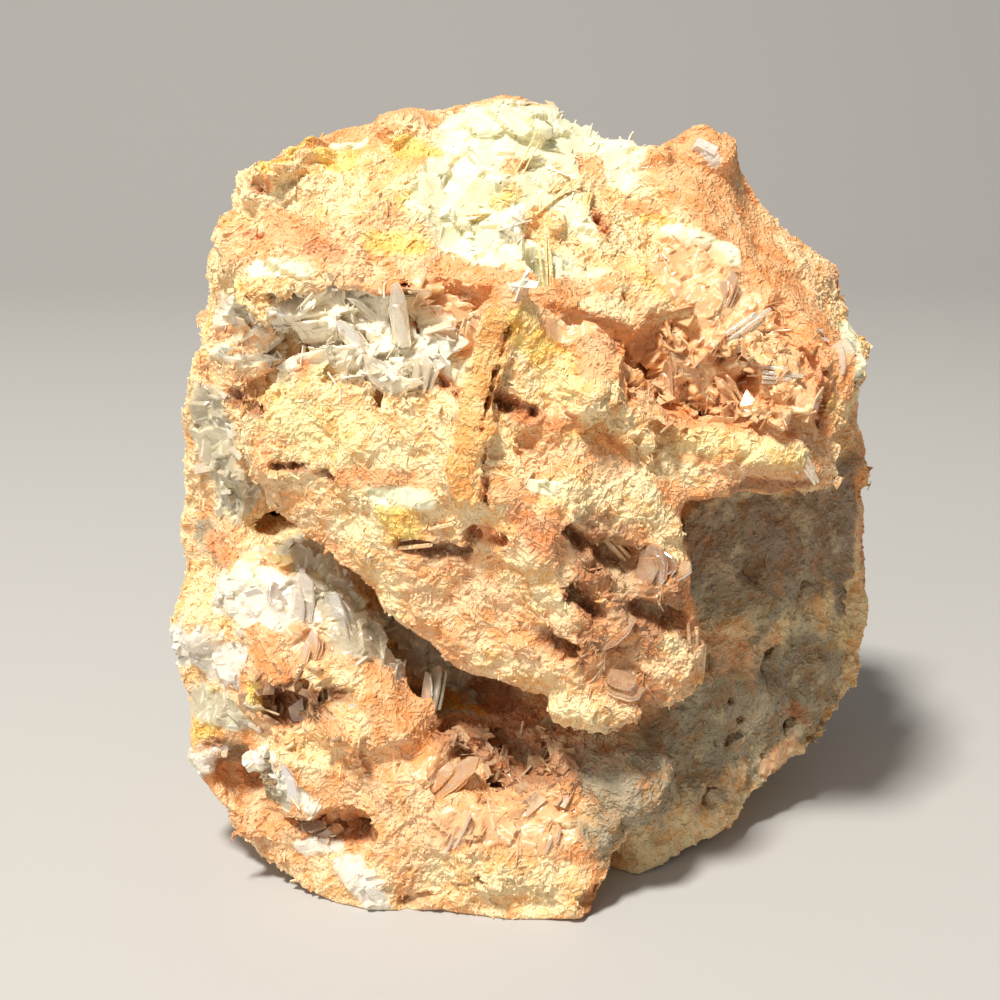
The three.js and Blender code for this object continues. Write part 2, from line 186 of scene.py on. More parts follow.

# Stains, and patches of painted shade, laid one over the other: kind, then ends and half width in pixels of
# the photograph
STAINS_AND_SHADE = (
    # Crown, left of the crest
    ("cream", (260, 190), (430, 180), 62),
    ("peach", (235, 250), (400, 245), 34),
    ("golden", (268, 143), (312, 142), 10),
    ("golden", (330, 156), (345, 160), 15),
    ("pale", (336, 142), (360, 142), 8),
    ("orange", (384, 116), (440, 119), 11),
    ("golden", (402, 148), (440, 156), 14),
    ("ochre", (400, 170), (448, 165), 14),
    ("golden", (410, 200), (440, 200), 13),
    ("golden", (375, 240), (418, 242), 15),
    ("rust", (254, 184), (262, 188), 7),
    ("rust", (246, 232), (260, 234), 6),
    ("orange", (272, 222), (318, 244), 15),
    ("rust", (314, 246), (338, 252), 9),
    ("pale", (256, 268), (300, 272), 12),
    # Crest
    ("pale", (480, 125), (610, 150), 44),
    ("pale", (470, 200), (560, 240), 58),
    ("lemon", (496, 202), (512, 192), 10),
    ("golden", (506, 196), (510, 194), 4),
    ("white", (512, 225), (520, 285), 14),
    ("cream", (545, 225), (585, 255), 20),
    ("peach", (588, 160), (596, 180), 12),
    ("rust", (598, 215), (606, 240), 9),
    ("cream", (610, 245), (625, 290), 16),
    ("cream", (592, 302), (622, 312), 13),
    ("orange", (628, 203), (652, 207), 8),
    ("orange", (653, 212), (655, 262), 8),
    ("golden", (645, 216), (662, 220), 6),
    # Right slab and the honey stretch under it
    ("orange", (690, 165), (745, 240), 46),
    ("orange", (745, 225), (830, 350), 52),
    ("pale", (668, 232), (730, 256), 14),
    ("frost", (702, 150), (714, 160), 6),
    ("honey", (680, 265), (740, 320), 36),
    # Left band of clear blades
    ("ivory", (245, 326), (440, 345), 42),
    # A painted highlight: white where a glint lies on the left band
    ("white", (248, 312), (275, 314), 10),
    ("peach", (205, 330), (240, 340), 14),
    ("pale", (196, 350), (212, 360), 9),
    ("peach", (210, 370), (250, 385), 16),
    ("honey", (425, 300), (462, 340), 22),
    ("rust", (290, 360), (308, 372), 10),
    ("lemon", (318, 375), (356, 388), 14),
    ("ivory", (350, 370), (415, 385), 22),
    ("orange", (375, 382), (378, 396), 5),
    ("rust", (438, 378), (458, 394), 9),
    ("honey", (560, 325), (630, 360), 24),
    # Prow
    ("cream", (290, 430), (420, 430), 44),
    ("lemon", (270, 410), (350, 440), 22),
    ("peach", (258, 450), (268, 490), 16),
    ("umber", (276, 467), (300, 470), 7),
    ("umber", (320, 476), (328, 482), 6),
    ("orange", (345, 478), (430, 484), 12),
    ("pale", (372, 496), (430, 500), 10),
    ("cream", (350, 520), (400, 600), 34),
    ("peach", (440, 600), (560, 640), 52),
    ("cream", (520, 580), (560, 620), 26),
    ("umber", (402, 548), (462, 556), 12),
    ("rust", (474, 538), (500, 546), 11),
    ("orange", (486, 300), (520, 302), 15),
    ("ochre", (496, 325), (468, 450), 19),
    ("ochre", (458, 440), (460, 490), 14),
    ("orange", (492, 490), (525, 495), 15),
    ("golden", (525, 325), (560, 372), 20),
    ("lemon", (560, 376), (604, 402), 22),
    ("cream", (606, 404), (650, 440), 26),
    ("orange", (590, 360), (632, 384), 14),
    ("umber", (500, 402), (532, 414), 10),
    ("rust", (516, 418), (560, 424), 9),
    ("peach", (540, 450), (600, 470), 24),
    ("pale", (535, 485), (570, 492), 9),
    ("cream", (580, 500), (640, 510), 24),
    ("rust", (520, 520), (560, 555), 17),
    ("umber", (570, 530), (588, 545), 8),
    # Umber on the prow's tip, here and below: brown crystal faces, darkened as painted shade of its hollows
    ("umber", (606, 556), (660, 606), 40),
    ("amber", (620, 545), (655, 590), 16),
    ("peach", (560, 640), (640, 690), 34),
    ("umber", (600, 640), (672, 628), 26),
    ("orange", (580, 612), (632, 640), 10),
    ("umber", (575, 590), (598, 614), 14),
    ("umber", (546, 640), (590, 662), 13),
    ("cream", (485, 660), (560, 700), 16),
    ("amber", (600, 668), (650, 696), 18),
    ("cream", (670, 645), (682, 700), 13),
    # Ledge and right pocket
    ("honey", (655, 350), (800, 400), 34),
    ("umber", (676, 345), (735, 405), 9),
    ("orange", (730, 375), (780, 390), 14),
    ("rust", (815, 360), (822, 430), 10),
    ("lemon", (690, 440), (790, 455), 19),
    ("cream", (650, 460), (700, 478), 14),
    ("cream", (640, 490), (680, 545), 20),
    ("peach", (705, 472), (825, 478), 9),
    ("peach", (770, 425), (815, 440), 14),
    ("umber", (735, 487), (815, 485), 9),
    ("pale", (850, 330), (862, 372), 12),
    # Left flank
    ("grey", (205, 410), (235, 500), 24),
    ("umber", (232, 400), (258, 412), 10),
    ("peach", (205, 530), (232, 560), 24),
    ("beige", (202, 530), (222, 556), 12),
    ("rust", (212, 540), (226, 556), 10),
    ("frost", (260, 565), (300, 610), 24),
    ("honey", (250, 556), (292, 566), 11),
    ("frost", (225, 592), (270, 610), 22),
    ("pale", (236, 570), (262, 578), 10),
    # Left shoulder
    ("frost", (180, 645), (230, 665), 24),
    ("orange", (258, 640), (268, 670), 18),
    ("golden", (250, 690), (262, 704), 10),
    ("honey", (298, 636), (322, 652), 14),
    ("cream", (310, 672), (350, 690), 16),
    ("umber", (278, 702), (340, 704), 18),
    ("cream", (350, 715), (362, 740), 12),
    ("cream", (280, 745), (360, 760), 24),
    ("grey", (195, 700), (240, 715), 16),
    ("peach", (230, 690), (272, 740), 6),
    # Beige and umber low on the shoulder: painted shade
    ("beige", (225, 752), (268, 786), 24),
    ("umber", (215, 750), (255, 775), 12),
    ("grey", (283, 772), (287, 806), 6),
    ("frost", (192, 760), (215, 805), 12),
    # Recess under the prow: grey and umber, darkened as painted shade
    ("grey", (300, 540), (335, 600), 24),
    ("grey", (350, 630), (470, 710), 30),
    ("grey", (345, 580), (440, 670), 24),
    ("umber", (490, 700), (530, 725), 22),
    ("umber", (470, 742), (590, 765), 40),
    # Foot
    ("peach", (380, 790), (440, 880), 56),
    ("peach", (245, 800), (280, 850), 24),
    ("cream", (460, 880), (560, 890), 34),
    ("golden", (440, 700), (485, 715), 11),
    ("honey", (430, 768), (470, 776), 18),
    ("honey", (455, 825), (560, 830), 24),
    ("orange", (553, 832), (560, 856), 9),
    ("cream", (610, 770), (655, 765), 18),
    ("cream", (590, 820), (615, 800), 16),
    ("umber", (300, 828), (360, 830), 13),
    ("frost", (302, 846), (336, 846), 9),
    ("frost", (350, 866), (376, 900), 17),
    ("white", (225, 830), (272, 866), 8),
    # Rear block: beige rock, its colour darkened as painted shade, and taupe as painted shade under the
    # ledge
    ("beige", (720, 560), (800, 560), 64),
    ("beige", (650, 800), (800, 690), 78),
    ("taupe", (720, 540), (820, 530), 50),
    ("taupe", (846, 470), (846, 600), 18),
    ("umber", (792, 712), (804, 716), 11),
    ("honey", (770, 765), (790, 745), 13),
)

# Holes and cracks: ends and half width in pixels of the photograph, and depth in millimetres
HOLES = (
    ((276, 299), (295, 303), 8, 3.0), ((330, 295), (342, 298), 7, 3.0), ((405, 290), (410, 292), 6, 3.0),
    ((533, 254), (545, 280), 8, 4.0), ((623, 296), (626, 299), 5, 2.5), ((600, 218), (606, 236), 6, 2.0),
    ((670, 334), (686, 346), 8, 2.6), ((625, 388), (640, 396), 8, 3.0), ((696, 404), (704, 412), 7, 3.0),
    ((722, 392), (744, 408), 7, 2.0), ((640, 360), (650, 372), 6, 2.0), ((255, 184), (261, 187), 5, 1.8),
    ((247, 232), (258, 234), 5, 1.5), ((500, 402), (532, 412), 8, 2.2), ((276, 467), (300, 470), 7, 2.5),
    ((320, 477), (328, 482), 7, 3.0), ((402, 548), (462, 556), 9, 1.9), ((470, 540), (500, 544), 9, 2.2),
    ((568, 530), (588, 546), 7, 2.5), ((578, 596), (600, 614), 11, 3.2),
    ((614, 558), (656, 568), 19, 3.6), ((543, 640), (566, 656), 11, 3.2),
    ((640, 614), (676, 620), 12, 2.8), ((440, 378), (456, 392), 6, 1.5), ((233, 398), (256, 412), 8, 2.0),
    ((280, 700), (342, 704), 13, 3.0), ((262, 758), (272, 776), 8, 3.0), ((215, 748), (255, 780), 9, 1.5),
    ((300, 824), (362, 830), 11, 3.0), ((493, 778), (499, 788), 7, 3.0),
    ((500, 740), (540, 770), 16, 3.0), ((510, 330), (494, 384), 3.5, 2.2),
    ((494, 384), (482, 430), 3.5, 2.2), ((484, 440), (486, 505), 3, 1.6),
    ((815, 365), (822, 430), 5, 2.0), ((852, 352), (858, 380), 6, 2.5),
    ((741, 721), (743, 722), 3.5, 1.0), ((764, 757), (765, 758), 3.5, 1.0),
    ((701, 751), (703, 752), 3.5, 1.0), ((681, 770), (682, 772), 3.5, 1.0),
    ((716, 742), (717, 743), 3.5, 1.0), ((702, 800), (703, 802), 3.5, 1.0),
    ((681, 835), (682, 836), 3.5, 1.0), ((731, 701), (732, 702), 3.5, 1.0),
    ((403, 905), (420, 910), 8, 2.2), ((588, 906), (600, 896), 12, 2.4),
)

# Swellings, or dents: ends and half width in pixels of the photograph, and height in millimetres
SWELLS = (
    ((270, 335), (415, 345), 46, 6.0), ((594, 400), (645, 420), 30, 2.6),
    ((516, 224), (528, 282), 13, 1.6), ((700, 440), (790, 452), 20, 1.5),
    ((680, 365), (790, 385), 38, 4.4), ((752, 569), (754, 571), 13, 1.8),
    ((770, 659), (771, 661), 12, 1.8), ((733, 739), (736, 743), 14, 2.0),
    ((710, 796), (711, 798), 10, 1.6), ((806, 589), (807, 590), 9, 1.2),
    ((789, 724), (792, 728), 14, 2.0), ((262, 168), (312, 152), 20, 2.2),
    ((636, 158), (660, 156), 14, 1.6), ((346, 134), (364, 130), 12, -1.0),
    ((690, 130), (714, 132), 20, -2.0), ((828, 264), (844, 292), 14, -1.6),
    ((270, 156), (306, 148), 16, 2.2), ((322, 148), (328, 148), 7, -0.6),
    ((272, 376), (284, 352), 14, 2.0), ((371, 398), (372, 400), 11, 1.4),
    ((416, 398), (418, 400), 11, 1.4), ((860, 600), (857, 690), 22, -2.4),
    ((842, 712), (815, 742), 16, -2.4),
)


class Crystal(NamedTuple):
    """A larger crystal: ends in pixels of the photograph, sizes in millimetres and turn in degrees."""
    foot: tuple
    tip: tuple
    width: float
    thickness: float
    stand: float  # how far the tip stands out to the camera
    turn: float
    kind: str


CRYSTALS = {
    "left_great_blade": Crystal((414, 350), (396, 282), 2.6, 0.6, 2.0, 20, "ivory"),
    "left_needle": Crystal((393, 333), (349, 297), 0.8, 0.4, 2.6, 10, "white"),
    "left_band_blade_1": Crystal((360, 350), (330, 312), 2.8, 0.4, 1.4, 50, "ivory"),
    "left_band_blade_2": Crystal((300, 350), (318, 308), 2.6, 0.4, 1.4, -40, "ivory"),
    "left_band_blade_3": Crystal((268, 340), (250, 308), 2.2, 0.4, 1.2, 30, "white"),
    "left_band_blade_4": Crystal((390, 395), (362, 355), 2.6, 0.4, 1.4, -20, "ivory"),
    "left_band_blade_5": Crystal((425, 400), (432, 350), 2.4, 0.4, 1.0, 60, "ivory"),
    "crest_needle_1": Crystal((508, 204), (538, 128), 0.9, 0.22, 0.4, 82, "lemon"),
    "crest_needle_2": Crystal((506, 204), (466, 150), 0.9, 0.22, 0.4, 80, "lemon"),
    "crest_needle_3": Crystal((512, 208), (566, 186), 0.9, 0.22, 0.4, 84, "lemon"),
    "crest_needle_4": Crystal((528, 226), (602, 160), 0.9, 0.22, 0.4, 80, "lemon"),
    "crest_needle_5": Crystal((502, 212), (448, 224), 0.9, 0.22, 0.4, 84, "lemon"),
    "crest_needle_6": Crystal((552, 292), (544, 212), 0.9, 0.22, 0.4, 80, "lemon"),
    "crest_needle_7": Crystal((580, 244), (592, 172), 0.9, 0.22, 0.4, 82, "lemon"),
    "honey_blade_1": Crystal((700, 330), (735, 262), 3.4, 0.4, 1.0, 40, "honey"),
    "honey_blade_2": Crystal((734, 352), (774, 306), 1.4, 0.5, 1.6, 78, "white"),
    "pocket_blade_1": Crystal((766, 360), (802, 376), 1.4, 0.4, 1.8, 78, "white"),
    "pocket_blade_2": Crystal((688, 398), (706, 374), 1.2, 0.4, 1.6, 75, "honey"),
    "pocket_blade_3": Crystal((799, 329), (831, 341), 1.2, 0.4, 1.0, 78, "white"),
    "pocket_blade_4": Crystal((672, 398), (668, 350), 2.2, 0.4, 1.4, 55, "honey"),
    "pocket_blade_5": Crystal((742, 408), (716, 372), 2.2, 0.4, 1.6, 60, "honey"),
    "ledge_edge_blade": Crystal((803, 446), (822, 488), 1.2, 0.4, 1.6, 70, "ivory"),
    "right_edge_crystal": Crystal((840, 374), (846, 336), 3.4, 0.6, 0.2, 20, "ivory"),
    "prow_long_blade": Crystal((402, 541), (464, 522), 1.6, 0.5, 1.4, 80, "peach"),
    "prow_lower_blade": Crystal((470, 556), (526, 540), 1.6, 0.4, 1.6, 75, "peach"),
    "prow_right_blade": Crystal((628, 560), (592, 520), 1.2, 0.4, 0.8, 75, "peach"),
    "prow_tip_crystal_1": Crystal((646, 590), (664, 540), 4.2, 0.6, 1.8, 25, "amber"),
    "prow_tip_crystal_2": Crystal((668, 592), (690, 560), 3.0, 0.6, 0.8, 40, "amber"),
    "prow_tip_crystal_3": Crystal((604, 690), (646, 700), 3.6, 0.6, 1.4, 40, "amber"),
    "prow_tip_crystal_4": Crystal((604, 646), (636, 612), 3.6, 0.5, 1.6, 35, "amber"),
    "prow_rim_blade": Crystal((692, 690), (688, 620), 1.2, 0.4, 1.4, 70, "peach"),
    "flank_honey_blade": Crystal((250, 566), (296, 558), 2.2, 0.4, 1.2, 50, "golden"),
    "flank_clear_blade_1": Crystal((300, 622), (304, 568), 2.6, 0.5, 1.6, 25, "frost"),
    "flank_clear_blade_2": Crystal((275, 615), (270, 580), 2.6, 0.5, 1.4, -35, "frost"),
    "shoulder_honey_blade": Crystal((300, 672), (318, 628), 2.6, 0.4, 1.6, 40, "honey"),
    "shoulder_pale_blade": Crystal((345, 745), (356, 700), 2.6, 0.5, 1.0, 35, "ivory"),
    "recess_blade_1": Crystal((350, 640), (330, 590), 3.2, 0.5, 1.8, 40, "grey"),
    "recess_blade_2": Crystal((400, 690), (388, 640), 3.4, 0.35, 1.4, -60, "grey"),
    "recess_blade_3": Crystal((428, 704), (438, 656), 3.0, 0.35, 1.0, 62, "grey"),
    "foot_honey_blade_1": Crystal((430, 792), (476, 758), 2.8, 0.5, 1.8, 40, "honey"),
    "foot_honey_blade_2": Crystal((450, 850), (470, 812), 2.4, 0.4, 1.2, 60, "honey"),
    "foot_honey_blade_3": Crystal((545, 858), (562, 826), 2.2, 0.4, 1.2, 40, "honey"),
    "foot_side_blade": Crystal((286, 815), (284, 762), 2.2, 0.5, 1.2, 35, "frost"),
    "foot_hollow_blade": Crystal((306, 838), (346, 828), 2.4, 0.5, 0.4, 40, "grey"),
    "toe_crystal": Crystal((374, 904), (354, 872), 2.8, 0.7, 0.6, 20, "ivory"),
}

# Light, in metres and watts, and the pale stage
KEY_FROM = (-0.25, -0.40, 0.88)
KEY_AWAY = 1.1
KEY_SIZE = 0.16
KEY_POWER = 19
FILL_FROM = (-0.7, -0.9, 0.35)
FILL_AWAY = 1.2
FILL_SIZE = 0.9
FILL_POWER = 3.2
KEY_COLOUR = (1.0, 0.96, 0.9)
FILL_COLOUR = (1.0, 0.97, 0.94)
SKY_COLOUR = (0.95, 0.94, 0.93, 1)
SKY_LIGHT = 0.18
GAMMA = 1.12
AIMED_AT = (0, 0, 0.05)
FLOOR_SIDE = 5
SWEEP_AT = 0.5
SWEEP_RADIUS = 0.5
FLOOR_COLOUR = "b4b2ae"
FLOOR_ROUGHNESS, FLOOR_UNEVENNESS = 0.7, 0.1
FLOOR_GRAIN = 40  # millimetres


def linear(code):
    """A colour code as red, green and blue shares of light."""
    shares = np.array([int(code[i:i + 2], 16) for i in (0, 2, 4)]) / 255
    return np.where(shares <= 0.04045, shares / 12.92, ((shares + 0.055) / 1.055) ** 2.4)


def unit(vectors):
    return vectors / np.linalg.norm(vectors, axis=-1, keepdims=True)


def waves(places, reach, seed, count=24):
    """Smooth noise of about -1 to 1 with bumps of about the given reach, in millimetres."""
    turns = np.random.default_rng(seed)
    ways = unit(turns.normal(size=(count, 3))) * turns.uniform(0.6, 1.4, (count, 1)) * math.pi / (reach * MM)
    return np.sin(places @ ways.T + turns.uniform(0, 2 * math.pi, count)).sum(1) / math.sqrt(2 * count)


def smooth(share):
    share = np.clip(share, 0, 1)
    return share * share * (3 - 2 * share)


def coordinates(mesh):
    points = np.empty(len(mesh.vertices) * 3, np.float32)
    mesh.vertices.foreach_get("co", points)
    return points.reshape(-1, 3).astype(float)


def vertex_normals(mesh):
    outs = np.empty(len(mesh.vertices) * 3, np.float32)
    mesh.vertex_normals.foreach_get("vector", outs)
    return outs.reshape(-1, 3).astype(float)


def move_vertices(mesh, points):
    mesh.vertices.foreach_set("co", np.clip(points, LOW, HIGH).astype(np.float32).ravel())
    mesh.update()


def add_colours(mesh, name, colours):
    opaque = np.hstack([colours, np.ones((len(colours), 1))])
    layer = mesh.attributes.new(name, "FLOAT_COLOR", "POINT")
    layer.data.foreach_set("color", opaque.astype(np.float32).ravel())


def add_shares(mesh, name, shares):
    mesh.attributes.new(name, "FLOAT", "POINT").data.foreach_set("value", np.asarray(shares, np.float32))


def piece(name, mesh, material, slot):
    """A mesh as a piece of the object, with its material, on the object's only body."""
    thing = bpy.data.objects.new(name, mesh)
    bpy.context.collection.objects.link(thing)
    mesh.materials.append(material)
    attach(thing, "root")
    return thing


# The camera and the photograph's lines of sight

def camera_turn():
    return Matrix.Rotation(math.radians(90 - CAMERA_TILT), 3, "X")


def add_camera():
    camera = bpy.data.cameras.new("camera")
    camera.lens = CAMERA_LENS
    camera.sensor_width = SENSOR
    camera.clip_start = 0.01
    stand = bpy.data.objects.new("camera", camera)
    stand.matrix_world = Matrix.Translation(Vector(CAMERA_PLACE) * MM) @ camera_turn().to_4x4()
    bpy.context.collection.objects.link(stand)
    bpy.context.scene.camera = stand


def sight(pixel):
    """The direction in which the photograph's pixel looks."""
    across, down = pixel
    reach = PHOTO_SIDE * CAMERA_LENS / SENSOR
    half = PHOTO_SIDE / 2
    return (camera_turn() @ Vector((across - half, half - down, -reach))).normalized()


def seen(tree, pixel):
    """The place, and the way out of the surface, that the photograph shows at a pixel."""
    eye = Vector(CAMERA_PLACE) * MM
    place, out, _, _ = tree.ray_cast(eye, sight(pixel))
    if place is None:
        place, out, _, _ = tree.find_nearest(eye + sight(pixel) * MISSED_AWAY)
    return np.array(place), np.array(out)


def pixel_size(place):
    """How much a pixel of the photograph covers at a place, in metres."""
    away = np.linalg.norm(np.asarray(place) - np.array(CAMERA_PLACE) * MM)
    return away * SENSOR / (CAMERA_LENS * PHOTO_SIDE)


def from_stretch(points, start, end):
    """Each point's distance from the straight line between two places."""
    along = end - start
    share = np.clip((points - start) @ along / max(along @ along, 1e-12), 0, 1)
    return np.linalg.norm(points - start - share[:, None] * along, axis=1)


# The rock

def remeshed_cluster():
    """A fine, even copy of the cluster's mesh, its facets smoothed over."""
    source = bpy.data.objects.new("rock_source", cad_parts["cluster"].data.copy())
    bpy.context.collection.objects.link(source)
    remesh = source.modifiers.new("even", "REMESH")
    remesh.mode = "VOXEL"
    remesh.voxel_size = VOXEL * MM
    settle = source.modifiers.new("settle", "SMOOTH")
    settle.factor = SMOOTHING_STRENGTH
    settle.iterations = SMOOTHING
    shaped = source.evaluated_get(bpy.context.evaluated_depsgraph_get())
    mesh = bpy.data.meshes.new_from_object(shaped)
    bpy.data.objects.remove(source)
    mesh.materials.clear()
    return mesh


def scattered(points, spacing, seed):
    """Each point's way from random places near it, one in each box of a grid, and the places' numbers."""
    spacing = spacing * MM
    boxes = np.ceil((HIGH - LOW) / spacing).astype(int) + 3
    numbers = np.random.default_rng(seed).random((*boxes, 7))
    home = np.floor((points - LOW) / spacing).astype(int)
    for step in itertools.product((-1, 0, 1), repeat=3):
        box = home + step
        held = np.clip(box + 1, 0, boxes - 1)
        chance = numbers[held[:, 0], held[:, 1], held[:, 2]]
        yield points - LOW - (box + chance[:, :3]) * spacing, chance[:, 3:]


def knots(points):
    """Rounded knots crowded together: 1 at the middle of one and 0 in the clefts between them."""
    nearest = np.full(len(points), np.inf)
    for away, _ in scattered(points, KNOT_SPACING, KNOT_SEED):
        nearest = np.minimum(nearest, np.linalg.norm(away, axis=1))
    return 1 - smooth(nearest / (KNOT_REACH * KNOT_SPACING * MM))


def stubs(points, spacing, thickness, seed):
    """Broken blades at all angles: 1 where one comes through the surface."""
    highest = np.zeros(len(points))
    for away, chance in scattered(points, spacing, seed):
        way = unit(chance[:, :3] - 0.5)
        across = np.abs((away * way).sum(1)) / (thickness * MM)
        reach = np.linalg.norm(away, axis=1) / (spacing * MM)
        through = smooth(2 - 2 * across) * smooth(3 - 3 * reach) * (0.4 + 0.6 * chance[:, 3])
        highest = np.maximum(highest, through)
    return highest


def facets(points, spacing, seed):
    """Tilted flat faces, one in each cell around a random place, as a share of the spacing."""
    nearest = np.full(len(points), np.inf)
    height = np.zeros(len(points))
    for away, chance in scattered(points, spacing, seed):
        reach = np.linalg.norm(away, axis=1)
        tilt = (away * unit(chance[:, :3] - 0.5)).sum(1) / (spacing * MM)
        height = np.where(reach < nearest, tilt, height)
        nearest = np.minimum(nearest, reach)
    return height


def relief(points, crumb, milky):
    """How far each point rises out of the plain rock, by how crumbly and how milky it is."""
    rise = KNOT_HEIGHT * (0.4 + 0.6 * crumb) * (knots(points) - KNOT_LEVEL)
    for number, (reach, height) in enumerate(RELIEF):
        rise += height * waves(points, reach, RELIEF_SEED + number)
    for number, (spacing, thickness, height) in enumerate(CRUMBS):
        rise += height * crumb * (stubs(points, spacing, thickness, CRUMB_SEED + number) - CRUMB_LEVEL)
    rise += milky * FACET_SLOPE * FACET_SPACING * facets(points, FACET_SPACING, FACET_SEED)
    return rise * MM


def rough_rim(points, rim):
    """How far the rim of a mark wanders at each point, as a share of its half width."""
    return sum(amount * waves(points, reach, seed) for amount, reach, seed in rim)


def press(points, outs, tree, marks, way):
    """Moves the surface in or out at marks on the photograph, and says how far in a mark each point is."""
    pressed = np.zeros(len(points))
    ragged = rough_rim(points, MARK_RIM)
    for first, last, half_width, depth in marks:
        (start, out), (end, _) = seen(tree, first), seen(tree, last)
        away = from_stretch(points, start, end) / (half_width * pixel_size(start))
        share = smooth(MARK_END - away + ragged) * (outs @ out > TURNED_AWAY)
        points = points + way * share[:, None] * out * depth * MM
        pressed = np.maximum(pressed, share)
    return points, pressed


class Rock(NamedTuple):
    """The rock's mesh, how far each point is sunk in a hole, and how much of each kind of crust it has."""
    mesh: bpy.types.Mesh
    sunk: np.ndarray
    shares: np.ndarray


def grown_rock():
    """The rock with its relief, and the swellings and holes of the photograph."""
    mesh = remeshed_cluster()
    points = coordinates(mesh)
    outs = vertex_normals(mesh)
    standing = smooth(points[:, 2] / (STANDS_BELOW * MM))
    tree = surface_tree(mesh)
    shares = kind_shares(points, stains_and_shade_in_place(tree))
    rise = relief(points, shares @ CRUMBINESS, shares @ MILKINESS) * standing
    points, _ = press(points, outs, tree, SWELLS, 1)
    points, sunk = press(points + outs * rise[:, None], outs, tree, HOLES, -1)
    move_vertices(mesh, points)
    return Rock(mesh, sunk, shares)


def surface_tree(mesh):
    return BVHTree.FromPolygons(coordinates(mesh).tolist(), [p.vertices[:] for p in mesh.polygons])


# Where each kind of crust lies

def stains_and_shade_in_place(tree):
    """Each stain and patch of painted shade with its ends and half width in metres on the rock."""
    placed = []
    for kind, first, last, half_width in STAINS_AND_SHADE:
        start, end = seen(tree, first)[0], seen(tree, last)[0]
        placed.append((KIND_NAMES.index(kind), start, end, half_width * pixel_size(start)))
    return placed


def kind_shares(points, placed):
    """How much of each kind there is at each point: a patchy ground, with the stains and patches of painted
    shade laid over it.
    """
    shares = np.zeros((len(points), len(KINDS)))
    shares[:, KIND_NAMES.index(GROUND)] = 1
    far = smooth(points[:, 1] / (FAR_FROM * MM))
    for name, reach, seed, gain, start, only_far in PATCHES:
        amount = smooth(start + gain * waves(points, reach, seed))
        if only_far:
            amount = far * amount
        shares *= 1 - amount[:, None]
        shares[:, KIND_NAMES.index(name)] += amount
    ragged = rough_rim(points, STAIN_AND_SHADE_RIM)
    for number, start, end, half_width in placed:
        away = from_stretch(points, start, end) / half_width
        amount = smooth((STAIN_AND_SHADE_END - away + ragged) / STAIN_AND_SHADE_FADE)
        shares *= 1 - amount[:, None]
        shares[:, number] += amount
    return shares


EDGE_COLOURS = np.array([linear(kind.edge) for kind in KINDS.values()])
DEEP_COLOURS = np.array([linear(kind.deep) for kind in KINDS.values()])
MILKINESS = np.array([kind.milky for kind in KINDS.values()])
CRUMBINESS = np.array([kind.crumb for kind in KINDS.values()])


# Blades

PLATE_OUTLINE = np.array([[-0.5, 0.0], [0.5, 0.0], [0.34, 1.0], [-0.32, 1.0]])
PLATE_FACES = np.array([[0, 1, 2, 3], [7, 6, 5, 4], [0, 4, 5, 1], [1, 5, 6, 2], [2, 6, 7, 3], [3, 7, 4, 0]])
PLATE_TAPER = np.array([1.0, 1.0, 0.7, 0.7])
PLATE_TOP = np.array([0.0, 0, 1, 1, 0, 0, 1, 1])
PLATE_SKEW = 0.2


def plate_points(feet, ups, alongs, length, height, thickness):
    """The eight corners of each plate: it stands on its foot, on edge, along a direction."""
    sides = np.cross(alongs, ups)
    skew = draw.uniform(-PLATE_SKEW, PLATE_SKEW, (len(feet), 4, 2))
    skew[:, :2, 1] = 0
    outline = (PLATE_OUTLINE + skew) * np.stack([length, height], 1)[:, None, :]
    ring = feet[:, None] + outline[..., :1] * alongs[:, None] + outline[..., 1:] * ups[:, None]
    half = (thickness[:, None] / 2 * PLATE_TAPER)[..., None] * sides[:, None]
    return np.concatenate([ring + half, ring - half], 1)


def plates_mesh(name, corners, edge, deep):
    """Plates as one mesh, coloured from the deep colour at the foot, partly painted shade, to the edge
    colour at the top.
    """
    count = len(corners)
    mesh = bpy.data.meshes.new(name)
    faces = (PLATE_FACES[None] + 8 * np.arange(count)[:, None, None]).reshape(-1, 4)
    mesh.vertices.add(count * 8)
    mesh.vertices.foreach_set("co", np.clip(corners.reshape(-1, 3), LOW, HIGH).astype(np.float32).ravel())
    mesh.loops.add(faces.size)
    mesh.loops.foreach_set("vertex_index", faces.ravel().astype(np.int32))
    mesh.polygons.add(len(faces))
    mesh.polygons.foreach_set("loop_start", np.arange(0, faces.size, 4, dtype=np.int32))
    top = PLATE_TOP[None, :, None]
    colours = deep[:, None] * (1 - top) + edge[:, None] * top
    add_colours(mesh, "stain_and_shade", colours.reshape(-1, 3))
    add_shares(mesh, "standing", np.tile(PLATE_TOP, count))
    mesh.polygons.foreach_set("use_smooth", np.zeros(len(faces), bool))
    mesh.update()
    mesh.validate()
    return mesh


def sampled_surface(mesh, count, weight):
    """Random places on a mesh, more where the weight is more, as a function that reads any values there."""
    mesh.calc_loop_triangles()
    corners = np.empty(len(mesh.loop_triangles) * 3, np.int32)
    mesh.loop_triangles.foreach_get("vertices", corners)
    corners = corners.reshape(-1, 3)
    points = coordinates(mesh)
    a, b, c = points[corners[:, 0]], points[corners[:, 1]], points[corners[:, 2]]
    area = np.linalg.norm(np.cross(b - a, c - a), axis=1) * weight[corners].mean(1)
    chosen = corners[draw.choice(len(corners), count, p=area / area.sum())]
    parts = draw.dirichlet((1, 1, 1), count)
    return lambda values: (values[chosen] * parts[..., None]).sum(1)


def growth_rows(field):
    """One field of how each kind's blades grow, a row for each kind."""
    return np.array([getattr(GROWTHS[kind.growth], field) for kind in KINDS.values()])


